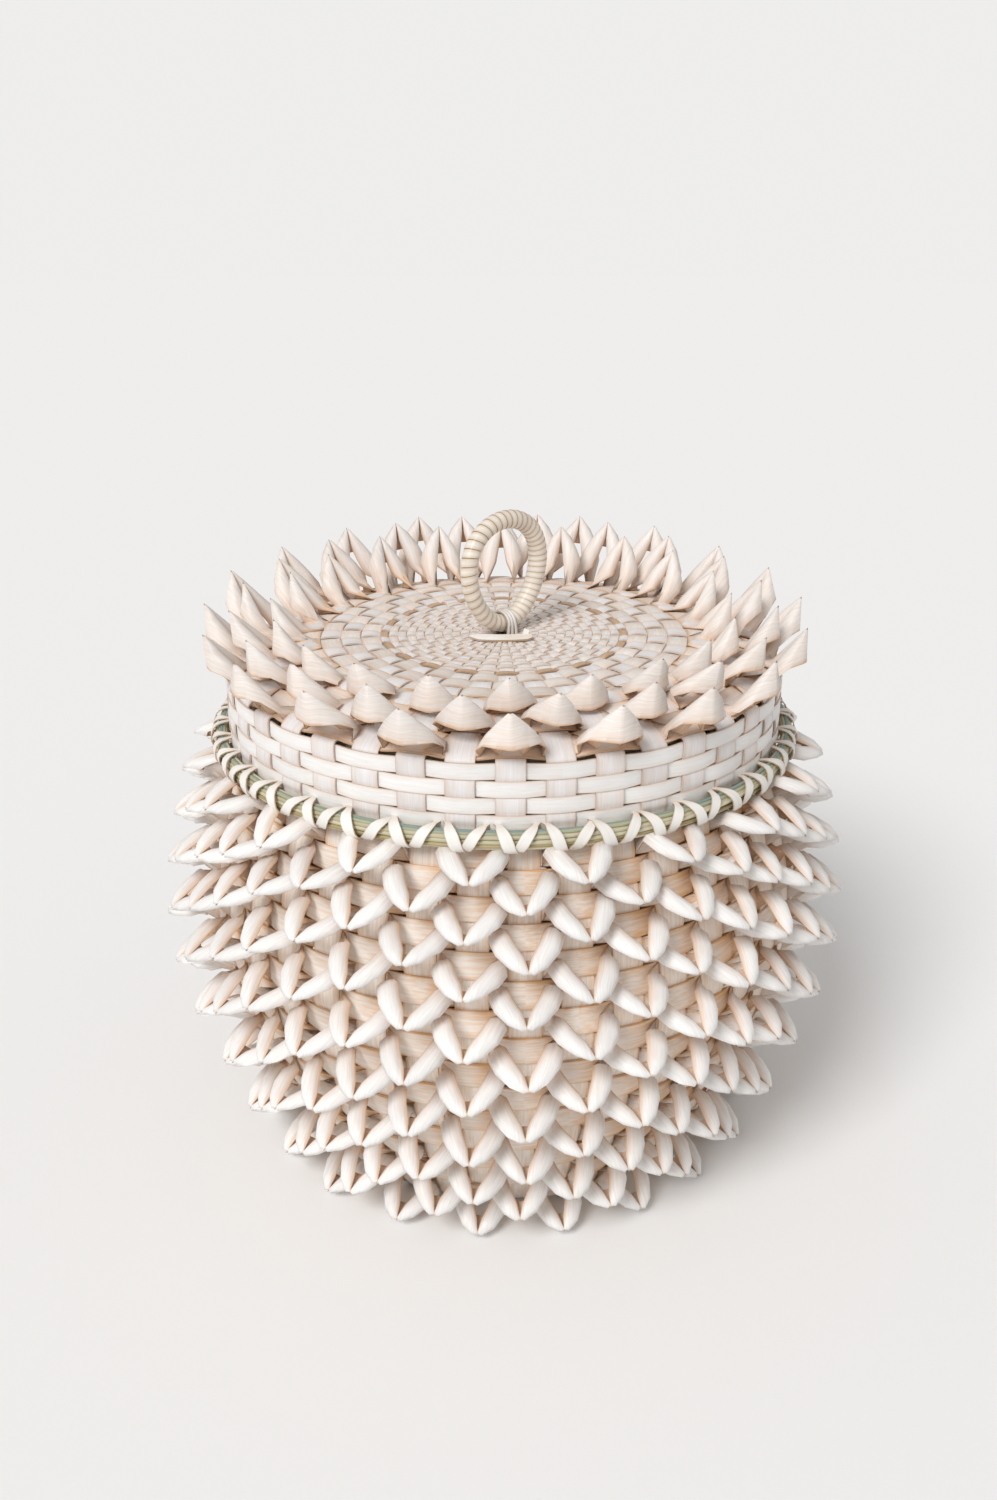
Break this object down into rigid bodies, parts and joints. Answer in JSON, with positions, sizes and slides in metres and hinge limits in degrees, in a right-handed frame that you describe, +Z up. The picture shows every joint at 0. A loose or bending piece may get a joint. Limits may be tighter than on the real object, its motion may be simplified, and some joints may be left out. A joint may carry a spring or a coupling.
{
  "type": "lidded splint basket",
  "caption": "Round woven splint basket covered in rows of pointed twisted curls, with a lift-off woven lid edged by a laced grass hoop and a wrapped ring handle that tilts.",
  "frame": {"origin": "on the basket's upright axis, at the level of the table that it stands on", "axes": "+Z up along the basket's axis, -Y towards the front as the picture shows it, +X to the right seen from the front"},
  "size_m": [0.2022, 0.2022, 0.1919],
  "materials": {
    "splint_body": "pale split ash splint, fine lengthwise grain, dull satin",
    "splint_curl": "thin pale ash splint twisted into points, fine grain, dull satin",
    "splint_warm": "slightly warmer ash splint, dull",
    "splint_brown": "brown-toned ash splint, dull",
    "splint_hoop": "thicker shaved ash hoop, dull",
    "lacing": "narrow pale ash lacing, satin",
    "grass": "bundle of dried olive green and straw grass, soft sheen",
    "handle_wrap": "narrow straw-coloured splint wound round a ring, satin"
  },
  "bodies": {
    "basket": {"base_weave": "splint_warm", "body_uprights": "splint_warm", "wall_weaver_01": "splint_body", "wall_weaver_02": "splint_body", "wall_weaver_03": "splint_body", "wall_weaver_04": "splint_body", "wall_weaver_05": "splint_body", "wall_weaver_06": "splint_body", "wall_weaver_07": "splint_body", "wall_weaver_08": "splint_body", "wall_weaver_09": "splint_body", "wall_weaver_10": "splint_body", "wall_weaver_11": "splint_body", "wall_weaver_12": "splint_body", "wall_weaver_13": "splint_body", "wall_weaver_14": "splint_body", "wall_weaver_15": "splint_body", "wall_curls_01": "splint_curl", "wall_curls_02": "splint_curl", "wall_curls_03": "splint_curl", "wall_curls_04": "splint_curl", "wall_curls_05": "splint_curl", "wall_curls_06": "splint_curl", "wall_curls_07": "splint_curl", "wall_curls_08": "splint_curl", "wall_curls_09": "splint_curl", "wall_curls_10": "splint_curl", "wall_curls_11": "splint_curl", "wall_curls_12": "splint_curl", "wall_curls_13": "splint_curl", "wall_curls_14": "splint_curl", "wall_curls_15": "splint_curl", "neck_weaver_1": "splint_body", "neck_weaver_2": "splint_body", "rim_outer_hoop": "splint_hoop", "rim_inner_hoop": "splint_hoop", "rim_lacing": "lacing"},
    "lid_hoop": {"lid_inner_hoop": "splint_hoop"},
    "lid": {"lid_uprights": "splint_warm", "lid_fine_weave": "splint_body", "lid_brown_weaver": "splint_brown", "lid_wide_weaver_1": "splint_body", "lid_wide_weaver_2": "splint_body", "lid_wide_weaver_3": "splint_body", "lid_curls_1": "splint_curl", "lid_curls_2": "splint_curl", "lid_curls_3": "splint_curl", "lid_band_weaver_1": "splint_body", "lid_band_weaver_2": "splint_body", "lid_band_weaver_3": "splint_body", "lid_band_weaver_4": "splint_body", "lid_grass_hoop": "grass", "lid_hoop_lacing": "lacing", "handle_strap": "lacing", "handle_tie": "lacing"},
    "handle": {"handle_ring_core": "splint_warm", "handle_ring_wrap": "handle_wrap"}
  },
  "joints": [
    {"name": "lid_lift", "type": "slide", "parent": "basket", "child": "lid_hoop", "axis": [0, 0, 1], "range_m": [0, 0.16]},
    {"name": "lid_turn", "type": "hinge", "parent": "lid_hoop", "child": "lid", "pos_m": [0, 0, 0.1253], "axis": [0, 0, 1], "continuous": true},
    {"name": "handle_tilt", "type": "hinge", "parent": "lid", "child": "handle", "pos_m": [0, 0, 0.15755], "axis": [0.7193, 0.6947, 0], "range_deg": [-75, 65]}
  ]
}
